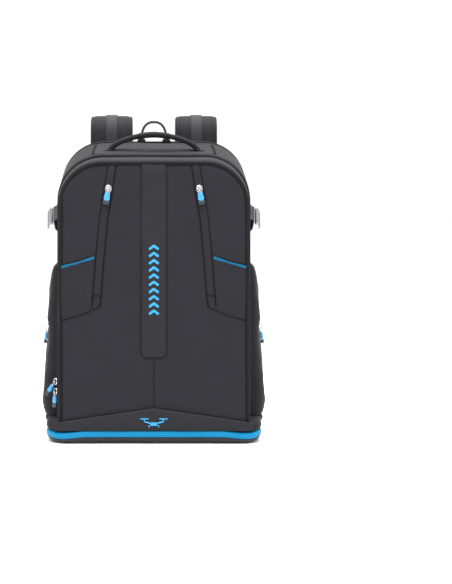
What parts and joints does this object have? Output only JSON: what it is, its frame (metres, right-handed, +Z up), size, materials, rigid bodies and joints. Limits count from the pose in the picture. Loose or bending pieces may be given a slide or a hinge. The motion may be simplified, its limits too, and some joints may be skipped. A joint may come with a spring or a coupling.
{
  "type": "drone backpack",
  "caption": "Soft padded backpack that carries a camera drone, with a zipped fold-down front lid, side pockets, grab handle and shoulder straps.",
  "frame": {"origin": "centre of the flat base, midway between the sides, 125 mm in front of the back panel's outer face", "axes": "+Z up, -Y out of the front lid, +X to the right seen from the front"},
  "size_m": [0.3892, 0.352, 0.5588],
  "materials": {
    "body_fabric": "fine matte polyester weave, dark charcoal",
    "webbing": "ribbed nylon webbing",
    "zip_tape": "coated zip tape, near black",
    "base_shell": "coated hard-wearing fabric",
    "accent_band": "bright azure tape",
    "back_mesh": "spacer mesh over foam",
    "lining": "brushed loop lining",
    "zip_metal": "bright nickel plate",
    "zip_pull": "moulded soft blue grip with a dark tip",
    "hook_metal": "satin gunmetal",
    "buckle_plastic": "fine-grained moulded nylon"
  },
  "bodies": {
    "root": {"back_panel": "body_fabric", "side_gusset_left": "body_fabric", "side_gusset_right": "body_fabric", "top_panel": "body_fabric", "base_tray": "base_shell", "base_zip_band": "accent_band", "base_pad": "body_fabric", "chevron_panel": "body_fabric", "laptop_partition": "lining", "divider_shelf": "lining", "divider_left": "lining", "divider_right": "lining", "main_zip_tape_body": "zip_tape", "side_pocket_left": "body_fabric", "side_pocket_right": "body_fabric", "side_zip_tape_left": "zip_tape", "side_zip_tape_right": "zip_tape", "compression_strap_left": "webbing", "compression_strap_right": "webbing", "back_pad_left": "back_mesh", "back_pad_right": "back_mesh", "lumbar_pad": "back_mesh", "strap_root_left": "body_fabric", "strap_root_right": "body_fabric", "lower_webbing_left": "webbing", "lower_webbing_right": "webbing"},
    "lid": {"front_panel": "body_fabric", "front_piping": "webbing", "lid_gusset": "body_fabric", "main_zip_tape_lid": "zip_tape", "organizer_panel": "lining", "center_strip": "body_fabric", "pocket_zip_tape_left": "zip_tape", "pocket_zip_tape_right": "zip_tape", "slip_pocket_left": "body_fabric", "slip_pocket_right": "body_fabric", "pocket_trim_left": "accent_band", "pocket_trim_right": "accent_band"},
    "main_slider_upper": {"main_zip_upper_slider": "zip_metal"},
    "main_pull_upper": {"main_zip_upper_pull": "zip_pull"},
    "main_slider_lower": {"main_zip_lower_slider": "zip_metal"},
    "main_pull_lower": {"main_zip_lower_pull": "zip_pull"},
    "handle": {"grab_handle": "body_fabric"},
    "loop": {"hang_loop": "webbing"},
    "pocket_slider_left": {"pocket_zip_left_slider": "zip_metal"},
    "pocket_pull_left": {"pocket_zip_left_pull": "zip_pull"},
    "side_slider_left": {"side_zip_left_slider": "zip_metal"},
    "side_pull_left": {"side_zip_left_pull": "zip_pull"},
    "hook_left": {"hook_left": "hook_metal"},
    "strap_left": {"shoulder_strap_left": "body_fabric"},
    "lock_left": {"ladder_lock_left": "buckle_plastic"},
    "sternum_left": {"sternum_half_left": "buckle_plastic"},
    "pocket_slider_right": {"pocket_zip_right_slider": "zip_metal"},
    "pocket_pull_right": {"pocket_zip_right_pull": "zip_pull"},
    "side_slider_right": {"side_zip_right_slider": "zip_metal"},
    "side_pull_right": {"side_zip_right_pull": "zip_pull"},
    "hook_right": {"hook_right": "hook_metal"},
    "strap_right": {"shoulder_strap_right": "body_fabric"},
    "lock_right": {"ladder_lock_right": "buckle_plastic"},
    "sternum_right": {"sternum_half_right": "buckle_plastic"}
  },
  "joints": [
    {"name": "lid_fold", "type": "hinge", "parent": "root", "child": "lid", "pos_m": [0, -0.1292, 0.03645], "axis": [1, 0, 0], "range_deg": [0, 100]},
    {"name": "main_zip_upper_slide", "type": "slide", "parent": "root", "child": "main_slider_upper", "axis": [0, 0.1097, 0.994], "range_m": [0, 0.25]},
    {"name": "main_zip_upper_pull_swing", "type": "hinge", "parent": "main_slider_upper", "child": "main_pull_upper", "pos_m": [-0.1694, -0.07292, 0.09966], "axis": [0, 0.994, -0.1097], "range_deg": [0, 140]},
    {"name": "main_zip_lower_slide", "type": "slide", "parent": "root", "child": "main_slider_lower", "axis": [0, -0.1097, -0.994], "range_m": [0, 0.015]},
    {"name": "main_zip_lower_pull_swing", "type": "hinge", "parent": "main_slider_lower", "child": "main_pull_lower", "pos_m": [-0.1694, -0.07479, 0.08276], "axis": [0, 0.994, -0.1097], "range_deg": [0, 40]},
    {"name": "handle_flop", "type": "hinge", "parent": "root", "child": "handle", "pos_m": [0, 0.012, 0.4964], "axis": [1, 0, 0], "range_deg": [-45, 60]},
    {"name": "hang_loop_flop", "type": "hinge", "parent": "root", "child": "loop", "pos_m": [0, 0.118, 0.5158], "axis": [1, 0, 0], "range_deg": [-40, 40]},
    {"name": "pocket_slide_left", "type": "slide", "parent": "lid", "child": "pocket_slider_left", "axis": [-0.109, -0.1091, -0.988], "range_m": [0, 0.15]},
    {"name": "pocket_pull_swing_left", "type": "hinge", "parent": "pocket_slider_left", "child": "pocket_pull_left", "pos_m": [-0.0772, -0.08574, 0.43006], "axis": [-0.9872, 0.0175, 0.1584], "range_deg": [0, 170]},
    {"name": "side_slide_left", "type": "slide", "parent": "root", "child": "side_slider_left", "axis": [-0.0957, 0, -0.9954], "range_m": [0, 0.11]},
    {"name": "side_pull_swing_left", "type": "hinge", "parent": "side_slider_left", "child": "side_pull_left", "pos_m": [-0.18706, 0.005, 0.1844], "axis": [0, 1, 0], "range_deg": [0, 165]},
    {"name": "hook_swing_left", "type": "hinge", "parent": "root", "child": "hook_left", "pos_m": [-0.1781, 0.00198, 0.38185], "axis": [0, 0.286, 0.9582], "range_deg": [0, 95]},
    {"name": "strap_swing_left", "type": "hinge", "parent": "root", "child": "strap_left", "pos_m": [-0.077, 0.164, 0.559], "axis": [1, 0, 0], "range_deg": [-3, 15], "deforming": ["lower_webbing_left"]},
    {"name": "lock_tilt_left", "type": "hinge", "parent": "strap_left", "child": "lock_left", "pos_m": [-0.101, 0.1735, 0.167], "axis": [1, 0, 0], "range_deg": [-20, 25]},
    {"name": "sternum_slide_left", "type": "slide", "parent": "strap_left", "child": "sternum_left", "axis": [0.115, 0.0694, 0.9909], "range_m": [-0.025, 0.025]},
    {"name": "pocket_slide_right", "type": "slide", "parent": "lid", "child": "pocket_slider_right", "axis": [0.109, -0.1091, -0.988], "range_m": [0, 0.15]},
    {"name": "pocket_pull_swing_right", "type": "hinge", "parent": "pocket_slider_right", "child": "pocket_pull_right", "pos_m": [0.0772, -0.08574, 0.43006], "axis": [-0.9872, -0.0175, -0.1584], "range_deg": [0, 170]},
    {"name": "side_slide_right", "type": "slide", "parent": "root", "child": "side_slider_right", "axis": [0.0957, 0, -0.9954], "range_m": [0, 0.11]},
    {"name": "side_pull_swing_right", "type": "hinge", "parent": "side_slider_right", "child": "side_pull_right", "pos_m": [0.18706, 0.005, 0.1844], "axis": [0, -1, 0], "range_deg": [0, 165]},
    {"name": "hook_swing_right", "type": "hinge", "parent": "root", "child": "hook_right", "pos_m": [0.1781, 0.00198, 0.38185], "axis": [0, -0.286, -0.9582], "range_deg": [0, 95]},
    {"name": "strap_swing_right", "type": "hinge", "parent": "root", "child": "strap_right", "pos_m": [0.077, 0.164, 0.559], "axis": [1, 0, 0], "range_deg": [-3, 15], "deforming": ["lower_webbing_right"]},
    {"name": "lock_tilt_right", "type": "hinge", "parent": "strap_right", "child": "lock_right", "pos_m": [0.101, 0.1735, 0.167], "axis": [1, 0, 0], "range_deg": [-20, 25]},
    {"name": "sternum_slide_right", "type": "slide", "parent": "strap_right", "child": "sternum_right", "axis": [-0.115, 0.0694, 0.9909], "range_m": [-0.025, 0.025]}
  ]
}
